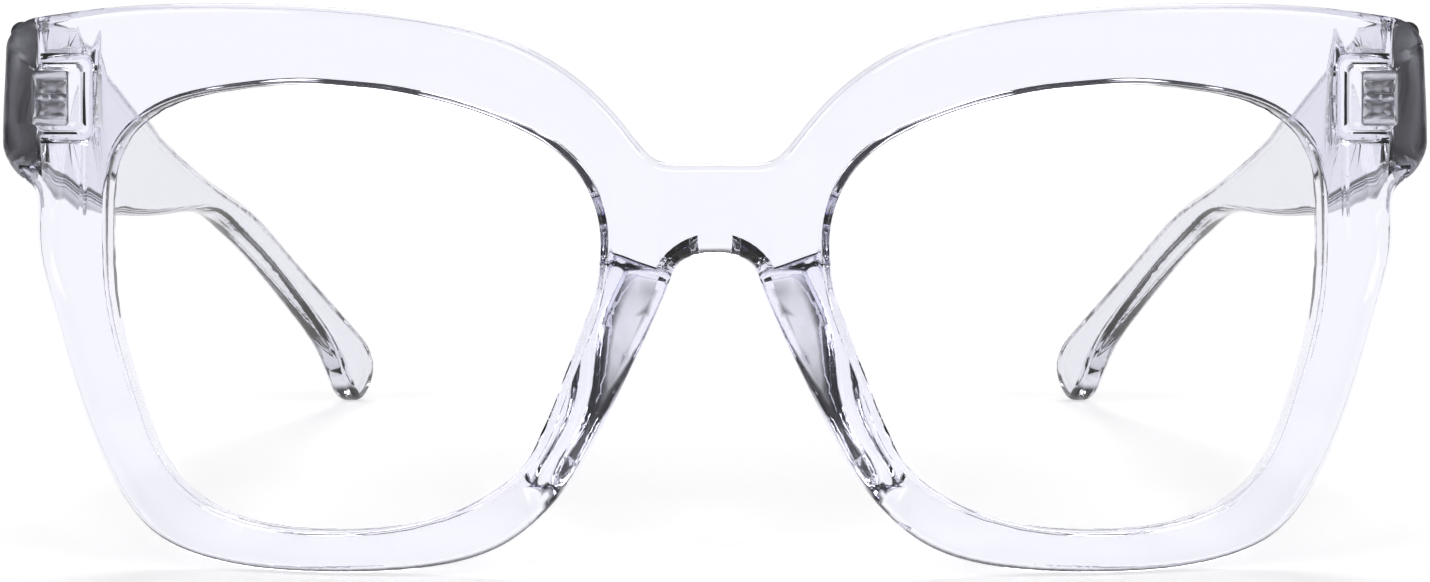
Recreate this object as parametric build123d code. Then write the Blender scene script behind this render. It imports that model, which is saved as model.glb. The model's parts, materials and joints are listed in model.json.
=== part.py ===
from build123d import *
import os
from math import asin, cos, degrees, radians, sin, sqrt, tan

# Blue light glasses: a moulded clear front with nose pads in one piece, two lenses,
# two clear temples and two five-knuckle hinges, each with its own screw.
#
# Every part is drawn in the frame of the front: X to the wearer's left, Y backwards from
# the middle of the front face, Z up along the front, with zero 0.75 above the rims' lowest
# point. The last step leans the front back, stands the glasses on rims and temple tips, and
# centres them over the origin.

# --- driving dimensions, mm ---
half_width = 74.0          # outer face of an endpiece to the middle
front_radius = 265.0       # bow of the front face, about an upright axis
rim_depth = 4.1            # front face to rear face
front_lean = 4.315         # degrees the front leans back when the glasses stand open
outer_edge_radius = 1.1    # rounding of the outer edge on the front face
rear_edge_radius = 0.7
opening_edge_radius = 0.35

lens_wrap = 8.0            # degrees each lens turns to follow the bow
lens_radius = 175.0        # outer curve of the flat-power lens
lens_thickness = 2.0
groove_depth = 0.6         # how far the lens edge reaches into the rim
lens_clearance = 0.05
lens_bevel = 0.62
lens_middle = 26.3         # height of the lens centre
opening_half_width = 25.8
opening_half_height = 22.75

bridge_top = 40.9
bridge_flat = 3.9          # half the width of the bridge's flat top
arch_height = 31.8         # underside of the bridge
arch_bevel_low = 27.0      # centre of the cone that bevels the rear of the arch
arch_bevel_radius = 5.0
arch_bevel_size = 1.9
gate_half_width = 1.75     # middle of the arch, left without the bevel

butt_depth = 15.5          # plane where a temple meets its endpiece
butt_gap = 0.04
endpiece_low = 40.8
endpiece_high = 56.0
land_width = 4.1           # strip that the temple's butt meets
block_inner = 64.0         # hinge block that stands on the rear of the endpiece
block_half_height = 4.7
block_radius = 1.5
block_edge_radius = 0.7
block_root = 11.7          # land and block both start inside the plate
block_reach = 0.6          # how far the block runs into the land

pocket_inner = 65.3        # recess for the hinge in the block
pocket_outer = 70.4        # and inner face of the temple
pocket_half_height = 3.5
pocket_depth = 3.0
pocket_radius = 0.9
pocket_floor_radius = 0.4

hinge_height = 47.85       # middle of the hinge
hinge_axis_x = 68.75
barrel_radius = 1.4
knuckle_pitch = 1.15       # five knuckles, one above the other
knuckle_gap = 0.05
leaf_thickness = 0.8
leaf_bed = 0.2             # how far the front leaf is let into the pocket's floor
leaf_half_width = 1.95
leaf_start = 0.3           # the temple leaf's plate, measured from the hinge axis
leaf_end = 9.5
front_leaf_corner = 0.4
temple_leaf_corner = 1.0
window_width = 3.2
window_height = 1.5
window_shift = -0.1
anchor_radius = 0.6
front_anchor_radius = 0.35
anchor_length = 1.1
anchor_place = 6.0
anchor_spread = 1.7
screw_radius = 0.6
bore_clearance = 0.04
screw_head_radius = 1.1
screw_head_height = 0.6
screw_slot = 0.3
screw_tip_chamfer = 0.15
screw_head_rounding = 0.2

pad_root_depth = 1.0       # how far a pad's root sits inside the rim
pad_tip_radius = 1.1
pad_top_radius = 0.7
pad_top = 32.4             # height of its top at the lens side
pad_top_slope = 20.0       # degrees it falls towards the nose
pad_top_fall = 10.0        # degrees it falls backwards
pad_levels = [             # height, nose side, crest, lens side, reach behind the rim
    (34.0, 3.8, 10.3, 11.4, 5.6), (27.5, 5.6, 11.1, 12.3, 7.0), (23.0, 7.6, 12.6, 14.0, 6.2),
    (18.0, 9.8, 13.2, 15.9, 4.6), (13.0, 12.6, 15.0, 18.0, 3.2), (8.0, 15.4, 17.3, 20.6, 1.7),
]

temple_angle = 7.5         # degrees each temple closes in from the straight-back line
temple_edge_radius = 1.15
temple_straight = 45.0     # the temple's inner face is straight up to this depth
temple_end = 152.0         # where the plan ends, beyond the tip
temple_end_inner = 46.3
temple_end_outer = 49.8
long_edge_length = 5.0     # edges longer than this are rounded, except round the butt

margin = 20.0              # how far the cutting shapes reach past what they cut

# --- shapes shared by several parts ---
def bow(x, radius=front_radius):
    """Depth of the bowed face at a distance x from the middle."""
    return front_radius - sqrt(radius**2 - x**2)


def prism(wire, near=-12.0, far=40.0):
    """A closed outline in the front view, carried straight back from near to far."""
    face = Plane((0, near, 0), x_dir=(1, 0, 0), z_dir=(0, -1, 0)) * make_face(wire)
    return extrude(face, amount=near - far)


def both_sides(part):
    """The wearer's left part and its mirror image."""
    return {"left": part, "right": mirror(part, about=Plane.YZ)}


# --- the front ---
def smooth(points, start, end):
    """Curve through the points that leaves and arrives along two given directions."""
    return Spline(points, tangents=[start, end], tangent_scalars=(1, 1)).edge()


def front_outline():
    """Outer outline of the front, closed over both sides."""
    half = [
        Line((0, bridge_top), (bridge_flat, bridge_top)).edge(),
        # brow, from the bridge out to the upper corner
        smooth(
            [(bridge_flat, bridge_top), (5.9, 41.3), (7.7, 42.95), (9.6, 45.35), (13.6, 49.3),
             (20, 53.1), (30, 55.7), (42, 57.05), (53, 57.4), (64, 56.95), (70.3, 56.2)],
            (1, 0), (1, -0.13),
        ),
        # upper corner, end face and the shoulder under the endpiece
        smooth([(70.3, 56.2), (73.6, 53.0)], (1, -0.13), (0.04, -1)),
        smooth([(73.6, 53.0), (half_width, 43.2)], (0.04, -1), (0, -1)),
        smooth([(half_width, 43.2), (73.35, 41.2), (72.1, 39.7), (70.35, 38.0)],
               (0, -1), (-0.22, -1)),
        # outer side, bottom and nasal side of the rim
        smooth(
            [(70.35, 38.0), (70.2, 33.4), (68.65, 26.55), (65.9, 17.35), (62.05, 8.5),
             (57.95, 3.2), (51.3, 0.3), (40.5, -0.75), (29.9, -0.2), (21.8, 2.05), (15.8, 7.2),
             (10.3, 16.5), (6.35, 24.7), (4.9, 28.1)],
            (-0.22, -1), (-0.38, 1),
        ),
        smooth([(4.9, 28.1), (3.65, 30.85), (0, arch_height)], (-0.38, 1), (-1, 0)),
    ]
    other_half = [mirror(edge, about=Plane.YZ).edge() for edge in half]
    return Wire(half + other_half)


def lens_plane():
    """Plane at the middle of the left opening, square to the bow, facing forwards."""
    c, s = cos(radians(lens_wrap)), sin(radians(lens_wrap))
    middle = (front_radius * s, front_radius * (1 - c), 0)
    return Plane(middle, x_dir=(c, s, 0), z_dir=(s, -c, 0))


def lens_outline(grow=0.0):
    """Outline of the left opening in lens_plane, or of the lens when grow is over 0."""
    wide, tall = 1 + grow / opening_half_width, 1 + grow / opening_half_height

    def quarter(points, start, end):
        grown = [(x * wide, lens_middle + (z - lens_middle) * tall) for x, z in points]
        return smooth(grown, start, end)
    return Wire([
        # top, outer side, bottom and nasal side, each to the next turning point
        quarter([(-1.0, 48.6), (4.8, 49.05), (13.0, 48.5), (20.6, 46.6), (25.1, 42.6),
                 (26.25, 36.0)], (1, 0.08), (0, -1)),
        quarter([(26.25, 36.0), (25.85, 26.85), (23.05, 16.6), (20.9, 11.3), (17.6, 7.35),
                 (11.9, 4.55), (2.0, 3.55)], (0, -1), (-1, 0)),
        quarter([(2.0, 3.55), (-10.3, 5.65), (-18.3, 11.35), (-21.45, 18.45), (-24.65, 27.05),
                 (-25.35, 33.0)], (-1, 0), (0, 1)),
        quarter([(-25.35, 33.0), (-22.55, 40.6), (-15.5, 45.1), (-5.35, 48.0), (-1.0, 48.6)],
                (0, 1), (1, 0.08)),
    ])


def lens_prism(grow=0.0):
    face = make_face(lens_outline(grow))
    return extrude(lens_plane() * face, amount=12, both=True)


def edges_at(part, radius, opening):
    """Edges on one of the two bowed faces: those round the openings, or all others."""
    def wanted(edge):
        places = [edge @ t for t in (0, 0.25, 0.5, 0.75, 1)]
        on_face = all(
            abs(sqrt(p.X**2 + (p.Y - front_radius) ** 2) - radius) < 0.02 for p in places
        )
        inside = all(10 < abs(p.X) < 65 and 3 < p.Z < 50.5 for p in places)
        return on_face and inside == opening
    return part.edges().filter_by(wanted)


def front_blank():
    """Bowed plate with its openings and rounded edges, before blocks, pads and grooves."""
    tall = bridge_top + 2 * margin
    rear_radius = front_radius - rim_depth
    centre = Pos(0, front_radius, bridge_top / 2)
    outer = centre * Cylinder(front_radius, tall)
    inner = centre * Cylinder(rear_radius, tall)
    plate = (outer - inner) & prism(front_outline())
    plate -= list(both_sides(lens_prism()).values())
    plate = fillet(edges_at(plate, front_radius, opening=True), opening_edge_radius)
    plate = fillet(edges_at(plate, rear_radius, opening=True), opening_edge_radius)
    plate = fillet(edges_at(plate, front_radius, opening=False), outer_edge_radius)
    plate = fillet(edges_at(plate, rear_radius, opening=False), rear_edge_radius)
    return plate


def lens(clearance=0.0):
    """Meniscus lens with a bevelled edge; with a clearance it cuts the groove for it."""
    middle = lens_plane() * Pos(0, lens_middle, -lens_radius)
    centre = Pos(middle.position)
    shell = centre * Sphere(lens_radius + clearance)
    shell -= centre * Sphere(lens_radius - lens_thickness - clearance)
    blank = shell & lens_prism(groove_depth + clearance)
    rims = blank.edges().filter_by(GeomType.LINE, reverse=True)
    return chamfer(rims, lens_bevel)


def arch_bevel():
    """Cone that bevels the rear edge of the arch over the nose, on both sides of the gate."""
    cone = Cone(arch_bevel_radius, arch_bevel_radius + arch_bevel_size, arch_bevel_size)
    over_nose = Pos(0, 0, arch_bevel_low + margin / 2) * Box(margin, margin, margin)
    middle = rim_depth - arch_bevel_size / 2
    gate = Pos(0, 0, arch_height) * Box(2 * gate_half_width, margin, margin)
    return (Pos(0, middle, arch_bevel_low) * Rot(X=-90) * cone & over_nose) - gate


def endpiece_land():
    """Raised strip at the end of the front, square to the temple's butt."""
    low = (half_width - land_width, block_root, endpiece_low)
    high = (half_width + 1, butt_depth, endpiece_high + 2)
    return block_between(low, high) & prism(front_outline())


def hinge_block():
    """Raised block that holds the hinge, with rounded corners and rear edge."""
    high = (pocket_outer + block_reach, butt_depth, hinge_height + block_half_height)
    block = block_between((block_inner, block_root, hinge_height - block_half_height), high)
    inner_corners = block.edges().filter_by(Axis.Y).sort_by(Axis.X)[:2]
    block = fillet(inner_corners, block_radius)
    rear = block.faces().sort_by(Axis.Y)[-1]
    return fillet(rear.edges().sort_by(Axis.X)[:-1], block_edge_radius)


def pad_section(height, nose_x, crest_x, lens_x, reach):
    """One level slice of a nose pad: two flanks that meet a rounded crest."""
    root = bow(lens_x, front_radius - rim_depth) - pad_root_depth
    nose_root, lens_root = Vector(nose_x, root), Vector(lens_x, root)
    crest = Vector(crest_x, root + pad_root_depth + reach - pad_tip_radius)

    def touch(foot, side):
        to_crest = crest - foot
        turn = 90 + degrees(asin(pad_tip_radius / to_crest.length))
        return crest + to_crest.normalized().rotate(Axis.Z, side * turn) * pad_tip_radius
    nose_tip, lens_tip = touch(nose_root, 1), touch(lens_root, -1)
    back = crest + (nose_tip + lens_tip - crest * 2).normalized() * pad_tip_radius
    face = make_face([
        Line(nose_root, nose_tip).edge(),
        ThreePointArc(nose_tip, back, lens_tip).edge(),
        Line(lens_tip, lens_root).edge(),
        Line(lens_root, nose_root).edge(),
    ])
    return Pos(0, 0, height) * face


def nose_pad():
    """Ridge moulded onto the rear of the nasal rim, deepest at the top."""
    ridge = loft([pad_section(*level) for level in pad_levels])
    corner = Pos(pad_levels[0][3], rim_depth, pad_top) * Rot(Y=-pad_top_slope)
    corner *= Rot(X=-pad_top_fall)
    ridge -= corner * Pos(0, 0, margin / 2) * Box(2 * margin, 2 * margin, margin)
    top = ridge.faces().sort_by(Axis.Z)[-1]
    return fillet(top.edges().sort_by(Axis.Y)[1:], pad_top_radius)


def hinge_pocket():
    """Rounded recess in the rear of the hinge block, open to the rear."""
    width, height = pocket_outer - pocket_inner, 2 * pocket_half_height
    block = Box(width, 2 * pocket_depth, height)
    block = fillet(block.edges().filter_by(Axis.Y), pocket_radius)
    floor = block.faces().sort_by(Axis.Y)[0]
    block = fillet(floor.edges(), pocket_floor_radius)
    return Pos((pocket_inner + pocket_outer) / 2, butt_depth, hinge_height) * block


def front_frame(leaf):
    """The clear moulding, with a bed cut for each hinge leaf."""
    frame = front_blank() - arch_bevel()
    for added in (endpiece_land(), hinge_block(), nose_pad()):
        frame += list(both_sides(added).values())
    for cut in (hinge_pocket(), leaf, lens(lens_clearance)):
        frame -= list(both_sides(cut).values())
    return frame


# --- the hinge, round its own axis: x outwards, y backwards, z up ---
def knuckle(level, neck):
    """One ring of the hinge with the neck that joins it to its leaf."""
    ring = Cylinder(barrel_radius, knuckle_pitch - knuckle_gap) + neck
    bore = Cylinder(screw_radius + bore_clearance, 2 * knuckle_pitch)
    return Pos(0, 0, level * knuckle_pitch) * (ring - bore)


def block_between(low, high):
    """Box between two opposite corners."""
    size = [b - a for a, b in zip(low, high)]
    middle = [(a + b) / 2 for a, b in zip(low, high)]
    return Pos(*middle) * Box(*size)


def hinge_front_leaf():
    """Base plate on the pocket's floor, with three knuckles and two windows between them."""
    tall = knuckle_pitch - knuckle_gap
    half_height = 2 * knuckle_pitch + tall / 2
    floor = -pocket_depth
    top = floor - leaf_bed + leaf_thickness
    plate = block_between((-leaf_half_width, floor - leaf_bed, -half_height),
                          (leaf_half_width, top, half_height))
    plate = fillet(plate.edges().filter_by(Axis.Y), front_leaf_corner)
    neck = block_between((-barrel_radius, top - 0.1, -tall / 2), (barrel_radius, 0, tall / 2))
    leaf = plate + [knuckle(level, neck) for level in (-2, 0, 2)]
    window = Box(window_width, 2 * leaf_thickness, window_height)
    for level in (-1, 1):
        leaf -= Pos(window_shift, top - leaf_thickness, level * knuckle_pitch) * window
    base = (Align.CENTER, Align.CENTER, Align.MIN)
    anchor = Cylinder(front_anchor_radius, anchor_length, align=base)
    leaf += Pos(0, floor - leaf_bed, 0) * Rot(X=90) * anchor
    return Pos(hinge_axis_x, butt_depth, hinge_height) * leaf


def hinge_temple_leaf():
    """Plate let into the temple's inner face, with two knuckles."""
    tall = knuckle_pitch - knuckle_gap
    half_height = 2 * knuckle_pitch + tall / 2
    face = (pocket_outer - hinge_axis_x) * cos(radians(temple_angle))
    plate = block_between((face, leaf_start, -half_height),
                          (face + leaf_thickness, leaf_end, half_height))
    plate = fillet(plate.edges().filter_by(Axis.X), temple_leaf_corner)
    neck = block_between((0, leaf_start + 0.1, -tall / 2),
                         (face + leaf_thickness / 2, barrel_radius, tall / 2))
    leaf = plate + [knuckle(level, neck) for level in (-1, 1)]
    for side in (-1, 1):
        anchor = Cylinder(anchor_radius, anchor_length, align=(Align.CENTER, Align.CENTER, Align.MIN))
        leaf += Pos(face + leaf_thickness, anchor_place, side * anchor_spread) * Rot(Y=90) * anchor
    return Pos(hinge_axis_x, butt_depth, hinge_height) * Rot(Z=temple_angle) * leaf


def hinge_screw():
    """Slotted screw that is also the hinge pin."""
    top = 2.5 * knuckle_pitch - knuckle_gap / 2
    base = (Align.CENTER, Align.CENTER, Align.MIN)
    shank = Pos(0, 0, -top) * Cylinder(screw_radius, 2 * top, align=base)
    shank = chamfer(shank.edges().sort_by(Axis.Z)[0], screw_tip_chamfer)
    head = Pos(0, 0, top) * Cylinder(screw_head_radius, screw_head_height, align=base)
    head = fillet(head.edges().sort_by(Axis.Z)[-1], screw_head_rounding)
    slot = Pos(0, 0, top + screw_head_height) * Box(3, screw_slot, screw_head_height)
    return Pos(hinge_axis_x, butt_depth, hinge_height) * (shank + head - slot)


# --- the temple ---
def temple_plan():
    """The temple from above: inner and outer face, straight at the hinge, then closing in."""
    start = butt_depth + butt_gap
    slope = tan(radians(temple_angle))
    bend = (pocket_outer - slope * (temple_straight - butt_depth), temple_straight)
    inner_end, outer_end = (temple_end_inner, temple_end), (temple_end_outer, temple_end)
    inner = [
        Line((pocket_outer, start), bend).edge(),
        smooth([bend, (61.0, 85), (55.6, 115), inner_end], (-slope, 1), (-0.3, 1)),
    ]
    outer = smooth([(half_width, start), (70.0, 45), (64.5, 85), (59.1, 115), outer_end],
                   (-0.1, 1), (-0.3, 1))
    ends = [
        Line((pocket_outer, start), (half_width, start)).edge(),
        Line(inner_end, outer_end).edge(),
    ]
    return make_face(inner + [outer] + ends)


def temple_profile():
    """The temple from the side: y backwards, z up."""
    start = butt_depth + butt_gap
    top = smooth(
        [(start, endpiece_high), (24, 55.5), (34, 53.4), (45, 49.7), (56, 45.9), (70, 42.1),
         (84, 38.9), (97, 36.0), (108, 32.1), (120, 27.3), (131, 22.7), (138.5, 19.4)],
        (1, 0), (1, -0.46),
    )
    tip = smooth([(138.5, 19.4), (144.6, 13.7), (139.0, 9.35)], (1, -0.46), (-1, 0.2))
    bottom = smooth(
        [(139.0, 9.35), (132, 14.6), (123.5, 20.1), (112, 25.4), (99, 30.6), (90, 33.5),
         (83, 35.3), (76, 36.0), (69, 35.9), (60, 35.6), (51, 35.5), (43, 36.0), (35, 37.4),
         (26, 39.3), (start, endpiece_low)],
        (-1, 0.2), (-1, 0.1),
    )
    butt = Line((start, endpiece_low), (start, endpiece_high)).edge()
    return make_face([top, tip, bottom, butt])


def temple(leaf):
    """Clear moulding with rounded long edges and a bed for its hinge leaf."""
    side_view = Plane((half_width + margin, 0, 0), x_dir=(0, 1, 0), z_dir=(1, 0, 0))
    from_side = extrude(side_view * temple_profile(), amount=-half_width)
    bar = extrude(temple_plan(), amount=endpiece_high + margin) & from_side

    def long_edge(edge):
        on_butt = abs((edge @ 0).Y - (edge @ 1).Y) < 0.01
        return edge.length > long_edge_length and not on_butt
    bar = fillet(bar.edges().filter_by(long_edge), temple_edge_radius)
    return bar - leaf


if __name__ == "__main__":
    os.makedirs("parts", exist_ok=True)
    front_leaf = hinge_front_leaf()
    temple_leaf = hinge_temple_leaf()
    nodes = {"front_frame": front_frame(front_leaf)}
    paired = {
        "lens": lens(),
        "hinge_front_leaf": front_leaf,
        "hinge_temple_leaf": temple_leaf,
        "hinge_screw": hinge_screw(),
        "temple": temple(temple_leaf),
    }
    for name, part in paired.items():
        for side, solid in both_sides(part).items():
            nodes[f"{name}_{side}"] = solid

    # stand the glasses up and centre them over the origin
    lean = Rot(X=-front_lean)
    box = Compound([lean * part for part in nodes.values()]).bounding_box()
    place = Pos(0, -box.center().Y, -box.min.Z) * lean
    for name, part in nodes.items():
        export_step(place * part, f"parts/{name}.step")
    axis = (place * Pos(hinge_axis_x, butt_depth, hinge_height)).position
    print("left hinge axis passes through", axis)
    print("low points", (place * nodes["front_frame"]).bounding_box().min.Z,
          (place * nodes["temple_left"]).bounding_box().min.Z)
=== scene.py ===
import json
import math

import bpy
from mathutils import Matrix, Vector


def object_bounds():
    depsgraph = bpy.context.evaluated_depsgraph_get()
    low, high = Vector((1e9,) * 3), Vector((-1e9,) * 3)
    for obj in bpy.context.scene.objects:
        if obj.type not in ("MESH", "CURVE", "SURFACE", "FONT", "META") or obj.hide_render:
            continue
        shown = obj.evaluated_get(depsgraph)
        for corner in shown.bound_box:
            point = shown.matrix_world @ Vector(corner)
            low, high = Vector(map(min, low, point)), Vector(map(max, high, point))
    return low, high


# Gives the glasses their materials, and sets the floor, the light and the camera round them.
# The CAD nodes keep their shapes and places.
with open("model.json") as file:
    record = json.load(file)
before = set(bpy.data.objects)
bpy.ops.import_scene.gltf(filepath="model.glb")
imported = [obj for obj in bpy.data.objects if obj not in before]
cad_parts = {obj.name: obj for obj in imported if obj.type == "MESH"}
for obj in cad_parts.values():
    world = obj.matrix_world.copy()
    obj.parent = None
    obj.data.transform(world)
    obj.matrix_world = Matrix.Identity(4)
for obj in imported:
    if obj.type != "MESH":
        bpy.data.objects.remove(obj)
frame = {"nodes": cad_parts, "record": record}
cad_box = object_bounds()
nodes = frame["nodes"]
joints = frame["record"]["behaviour"]["joints"]
low_corner = Vector(cad_box[0])

# Lengths are in metres, but the camera's focal length and sensor are in millimetres. Angles
# are in degrees.
wave_height = 0.00002  # waviness of the moulded plastic
grain_height = 0.00001  # grain of the hinge metal
weld_gap = 0.000004  # points of neighbouring CAD faces this close are one
metal_growth = 0.000006  # how far the metal is grown into the plastic
plane_reach = 0.00006  # a face whose middle is this near a plane can lie in it
plane_match = 0.99  # and its normal has at least this cosine with the plane's

polished = (0.0, 0.03)  # roughness, least and most, here and in the next three
sawn = (0.4, 0.5)
satin = (0.3, 0.5)
lens_finish = (0.0, 0.01)
plastic_index = 1.49
lens_index = 1.12  # lower than a real lens's, so that it bends and reflects little light

floor_size = 12
floor_gap = 0.0002  # keeps the floor just clear of the rims and the temple tips
floor_roughness = 0.9
floor_shine = 0.1
floor_glow = 0.5
world_strength = 1.05
dark_room = (0.03, 0.03, 0.035)
pale_wall = (0.7, 0.7, 0.72)
white = (1.0, 1.0, 1.0)

eye_in_front = 0.34087  # from the foremost point of the glasses
eye_height = 0.06314  # above the floor
eye_pitch = 5.665  # below level
focal_length = 85.87
sensor_width = 36


# --- nodes that the materials and the world share ---
def add_node(tree, kind, **settings):
    """Adds a node, and sets inputs by their names and properties by theirs."""
    node = tree.nodes.new(kind)
    for key, value in settings.items():
        if key in node.inputs:
            node.inputs[key].default_value = value
        else:
            setattr(node, key, value)
    return node


def noise(tree, scale, detail, stretch=(1, 1, 1)):
    """Noise in the object's own coordinates, finer along an axis where the stretch is above 1."""
    place = add_node(tree, "ShaderNodeTexCoord")
    mapping = add_node(tree, "ShaderNodeMapping", Scale=stretch)
    tree.links.new(place.outputs["Object"], mapping.inputs["Vector"])
    texture = add_node(tree, "ShaderNodeTexNoise", Scale=scale, Detail=detail)
    tree.links.new(mapping.outputs["Vector"], texture.inputs["Vector"])
    return texture.outputs["Fac"]


def map_range(tree, value, least, most):
    """Spreads a value that runs from 0 to 1 between two others."""
    spread = add_node(tree, "ShaderNodeMapRange")
    spread.inputs["To Min"].default_value = least
    spread.inputs["To Max"].default_value = most
    tree.links.new(value, spread.inputs["Value"])
    return spread.outputs["Result"]


def fade(tree, value, start, end):
    """Goes smoothly from 0 to 1 as a value goes from start to end."""
    spread = add_node(tree, "ShaderNodeMapRange", interpolation_type="SMOOTHSTEP")
    spread.inputs["From Min"].default_value = start
    spread.inputs["From Max"].default_value = end
    tree.links.new(value, spread.inputs["Value"])
    return spread.outputs["Result"]


def multiply(tree, one, other):
    """The product of two values."""
    product = add_node(tree, "ShaderNodeMath", operation="MULTIPLY")
    tree.links.new(one, product.inputs[0])
    tree.links.new(other, product.inputs[1])
    return product.outputs[0]


def shades(tree, value, first, second):
    """A colour that goes from the first to the second as a value goes from 0 to 1."""
    ramp = add_node(tree, "ShaderNodeValToRGB")
    ramp.color_ramp.elements[0].color = (*first, 1)
    ramp.color_ramp.elements[1].color = (*second, 1)
    tree.links.new(value, ramp.inputs["Fac"])
    return ramp.outputs["Color"]


def mix_in(tree, amount, colour, plain):
    """A colour that gives way to a plain one as the amount goes from 0 to 1."""
    mix = add_node(tree, "ShaderNodeMix", data_type="RGBA")
    # The node has several sockets of one name, so its colour sockets are taken by number.
    colour_a, colour_b, colour_result = mix.inputs[6], mix.inputs[7], mix.outputs[2]
    tree.links.new(amount, mix.inputs["Factor"])
    tree.links.new(colour, colour_a)
    colour_b.default_value = (*plain, 1)
    return colour_result


# --- materials ---
def new_material(name):
    """A material with its node tree and its Principled shader."""
    material = bpy.data.materials.new(name)
    material.use_nodes = True
    tree = material.node_tree
    return material, tree, tree.nodes["Principled BSDF"]


def bump(tree, shader, height, distance, strength=1.0):
    """Raises the surface by a height that runs from 0 to 1, times the distance."""
    node = add_node(tree, "ShaderNodeBump", Strength=strength, Distance=distance)
    tree.links.new(height, node.inputs["Height"])
    tree.links.new(node.outputs["Normal"], shader.inputs["Normal"])


def clear_material(name, surface, index, smear_scale, rough, tint, density):
    """A clear material with uneven polish, which tints light on its way through."""
    material, tree, shader = new_material(name)
    shader.inputs["Base Color"].default_value = (*surface, 1)
    shader.inputs["Transmission Weight"].default_value = 1.0
    shader.inputs["IOR"].default_value = index
    polish = noise(tree, scale=smear_scale, detail=4)
    tree.links.new(map_range(tree, polish, *rough), shader.inputs["Roughness"])
    volume = add_node(tree, "ShaderNodeVolumeAbsorption", Color=(*tint, 1), Density=density)
    tree.links.new(volume.outputs["Volume"], tree.nodes["Material Output"].inputs["Volume"])
    return material, tree, shader


def clear_plastic(name, surface, tint, density, rough=polished):
    """Moulded clear plastic, whose surface waves a little."""
    material, tree, shader = clear_material(
        name, surface, plastic_index, smear_scale=900, rough=rough, tint=tint, density=density)
    bump(tree, shader, noise(tree, scale=60, detail=1), wave_height)
    return material


def lens_glass():
    """The lenses' material, almost colourless."""
    material, _, _ = clear_material(
        "lens", white, lens_index, smear_scale=40, rough=lens_finish, tint=(0.97, 0.98, 1.0), density=1)
    return material


def hinge_steel(name, dark, light):
    """Satin nickel silver with a fine grain between two greys."""
    material, tree, shader = new_material(name)
    shader.inputs["Metallic"].default_value = 1.0
    grain = noise(tree, scale=3000, detail=4, stretch=(1, 1, 8))
    tree.links.new(shades(tree, grain, [dark] * 3, [light] * 3), shader.inputs["Base Color"])
    tree.links.new(map_range(tree, grain, *satin), shader.inputs["Roughness"])
    bump(tree, shader, grain, grain_height, strength=0.6)
    return material


def give(node_name, material):
    """Makes a material the only one of a node."""
    mesh = nodes[node_name].data
    mesh.materials.clear()
    mesh.materials.append(material)
    for face in mesh.polygons:
        face.material_index = 0


def give_end_face(side, material):
    """Gives a temple's end face, which meets the front, a material of its own.

    The face lies in the plane that holds the hinge's axis and runs across the glasses.
    """
    hinge = next(joint for joint in joints if joint["name"] == "temple_" + side + "_fold")
    place, axis = Vector(hinge["pos_m"]), Vector(hinge["axis"])
    backwards = Vector((0, abs(axis.z), -abs(axis.y)))
    node = nodes["temple_" + side]
    mesh = node.data
    mesh.materials.append(material)
    for face in mesh.polygons:
        middle = node.matrix_world @ face.center
        normal = node.matrix_world.to_3x3() @ face.normal
        in_plane = abs((middle - place).dot(backwards)) < plane_reach
        if in_plane and abs(normal.dot(backwards)) > plane_match:
            face.material_index = len(mesh.materials) - 1


def smooth_node(node_name):
    """Welds the seams between CAD faces and smooths the shading, leaving flat faces flat."""
    node = nodes[node_name]
    weld = node.modifiers.new("weld", "WELD")
    weld.merge_threshold = weld_gap
    for face in node.data.polygons:
        face.use_smooth = True
    normals = node.modifiers.new("normals", "WEIGHTED_NORMAL")
    normals.keep_sharp = False
    normals.weight = 100  # the widest faces decide the normals


def press_in(node_name):
    """Lets the metal bite a few microns into the plastic, so that no two surfaces coincide."""
    swell = nodes[node_name].modifiers.new("swell", "DISPLACE")
    swell.direction = "NORMAL"
    swell.mid_level = 0.0
    swell.strength = metal_growth


front_plastic = clear_plastic(
    "clear_plastic_front", surface=(0.955, 0.955, 0.99), tint=(0.05, 0.05, 0.75), density=12)
# The temples' surface colour is darker and greyer than the front's: painted shade for the shading along
# the temples. Their absorption is the plastic's own tint.
shaded_temple_plastic = clear_plastic(
    "clear_plastic_temple_painted_shade", surface=(0.78, 0.78, 0.84), tint=(0.1, 0.1, 0.4), density=8)
sawn_plastic = clear_plastic(
    "clear_plastic_sawn", surface=(0.98, 0.98, 1.0), tint=(0.5, 0.5, 0.55), density=6, rough=sawn)
lens_material = lens_glass()
# The hinges are one nickel silver drawn in two copies. The front leaves get a lighter copy, painted
# light for plates that are lit only through the plastic. The temple leaves and the screws get a darker
# copy, painted shade so that the knuckles look dark through the windows of the front leaves.
lit_leaf_steel = hinge_steel("hinge_steel_painted_light", dark=0.78, light=0.95)
shaded_steel = hinge_steel("hinge_steel", dark=0.5, light=0.7)

give("front_frame", front_plastic)
for side in ("left", "right"):
    give("temple_" + side, shaded_temple_plastic)
    give_end_face(side, sawn_plastic)
    give("lens_" + side, lens_material)
    give("hinge_front_leaf_" + side, lit_leaf_steel)
    give("hinge_temple_leaf_" + side, shaded_steel)
    give("hinge_screw_" + side, shaded_steel)
for name in nodes:
    smooth_node(name)
    if name.startswith("hinge_"):
        press_in(name)


# --- floor, light and camera ---
def floor():
    """A plain pale floor that glows a little, so that it stays white under the glasses."""
    material, tree, shader = new_material("floor")
    shader.inputs["Roughness"].default_value = floor_roughness
    shader.inputs["Specular IOR Level"].default_value = floor_shine
    shader.inputs["Emission Color"].default_value = (*white, 1)
    shader.inputs["Emission Strength"].default_value = floor_glow
    cloud = noise(tree, scale=3, detail=2)
    paper = shades(tree, cloud, (0.94, 0.94, 0.945), (0.98, 0.98, 0.985))
    tree.links.new(paper, shader.inputs["Base Color"])
    bpy.ops.mesh.primitive_plane_add(size=floor_size, location=(0, 0, low_corner.z - floor_gap))
    plane = bpy.context.object
    plane.name = "floor"
    plane.data.materials.append(material)


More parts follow.
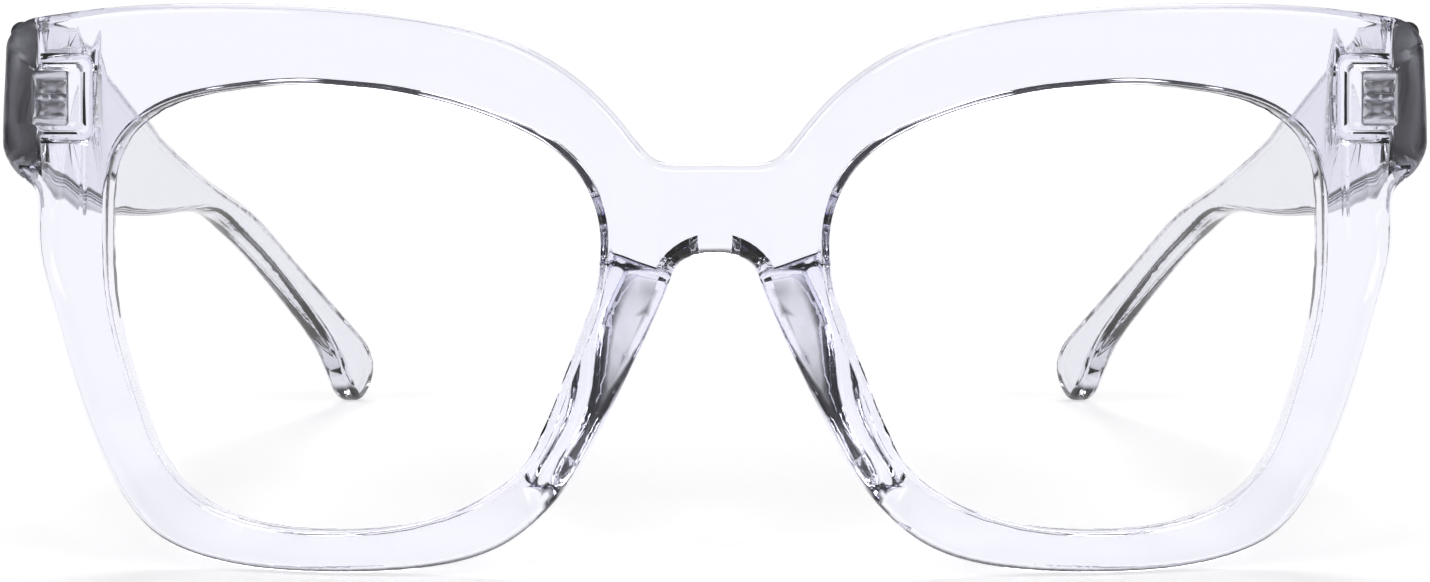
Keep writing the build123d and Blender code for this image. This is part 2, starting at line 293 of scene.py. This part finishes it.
def surround():
    """White low behind and at the sides, a pale wall low in front, and a dark room elsewhere.

    The camera itself sees plain white. A direction's Y is -1 straight in front of the glasses
    and 1 straight behind them, and its Z is the sine of its elevation.
    """
    world = bpy.data.worlds.new("studio")
    bpy.context.scene.world = world
    world.use_nodes = True
    tree = world.node_tree
    place = add_node(tree, "ShaderNodeTexCoord")
    direction = add_node(tree, "ShaderNodeSeparateXYZ")
    tree.links.new(place.outputs["Generated"], direction.inputs["Vector"])
    along, up = direction.outputs["Y"], direction.outputs["Z"]

    behind = fade(tree, along, start=-0.2, end=0.3)
    low_behind = fade(tree, up, start=0.4, end=0.1)
    sweep = multiply(tree, behind, low_behind)
    in_front = fade(tree, along, start=-0.45, end=-0.7)
    low_in_front = fade(tree, up, start=0.4, end=0.15)
    wall = multiply(tree, in_front, low_in_front)
    room = mix_in(tree, wall, shades(tree, sweep, dark_room, white), pale_wall)

    path = add_node(tree, "ShaderNodeLightPath")
    seen = mix_in(tree, path.outputs["Is Camera Ray"], room, white)
    background = tree.nodes["Background"]
    tree.links.new(seen, background.inputs["Color"])
    background.inputs["Strength"].default_value = world_strength


def studio_light(name, azimuth, elevation, spread, strength):
    """Soft light at a bearing from straight in front, the same over the whole floor."""
    data = bpy.data.lights.new(name, "SUN")
    data.energy = strength
    data.angle = math.radians(spread)
    turn, rise = math.radians(azimuth), math.radians(elevation)
    away = Vector((math.sin(turn) * math.cos(rise), -math.cos(turn) * math.cos(rise), math.sin(rise)))
    lamp = bpy.data.objects.new(name, data)
    lamp.rotation_euler = away.to_track_quat("Z", "Y").to_euler()
    bpy.context.scene.collection.objects.link(lamp)


def camera():
    """The camera at the photo's place, a little higher than the glasses and looking down."""
    data = bpy.data.cameras.new("camera")
    data.sensor_width = sensor_width
    data.lens = focal_length
    data.clip_start = 0.01
    data.clip_end = 20
    eye = bpy.data.objects.new("camera", data)
    eye.location = (0, low_corner.y - eye_in_front, low_corner.z + eye_height)
    eye.rotation_euler = (math.radians(90 - eye_pitch), 0, 0)
    bpy.context.scene.collection.objects.link(eye)
    bpy.context.scene.camera = eye


floor()
surround()
studio_light("rear", azimuth=180, elevation=50, spread=30, strength=1.0)
studio_light("front_left", azimuth=-40, elevation=30, spread=25, strength=0.5)
studio_light("front_right", azimuth=40, elevation=30, spread=25, strength=0.5)
studio_light("front_top", azimuth=0, elevation=38, spread=20, strength=0.35)
camera()
bpy.context.scene.view_settings.view_transform = "Standard"
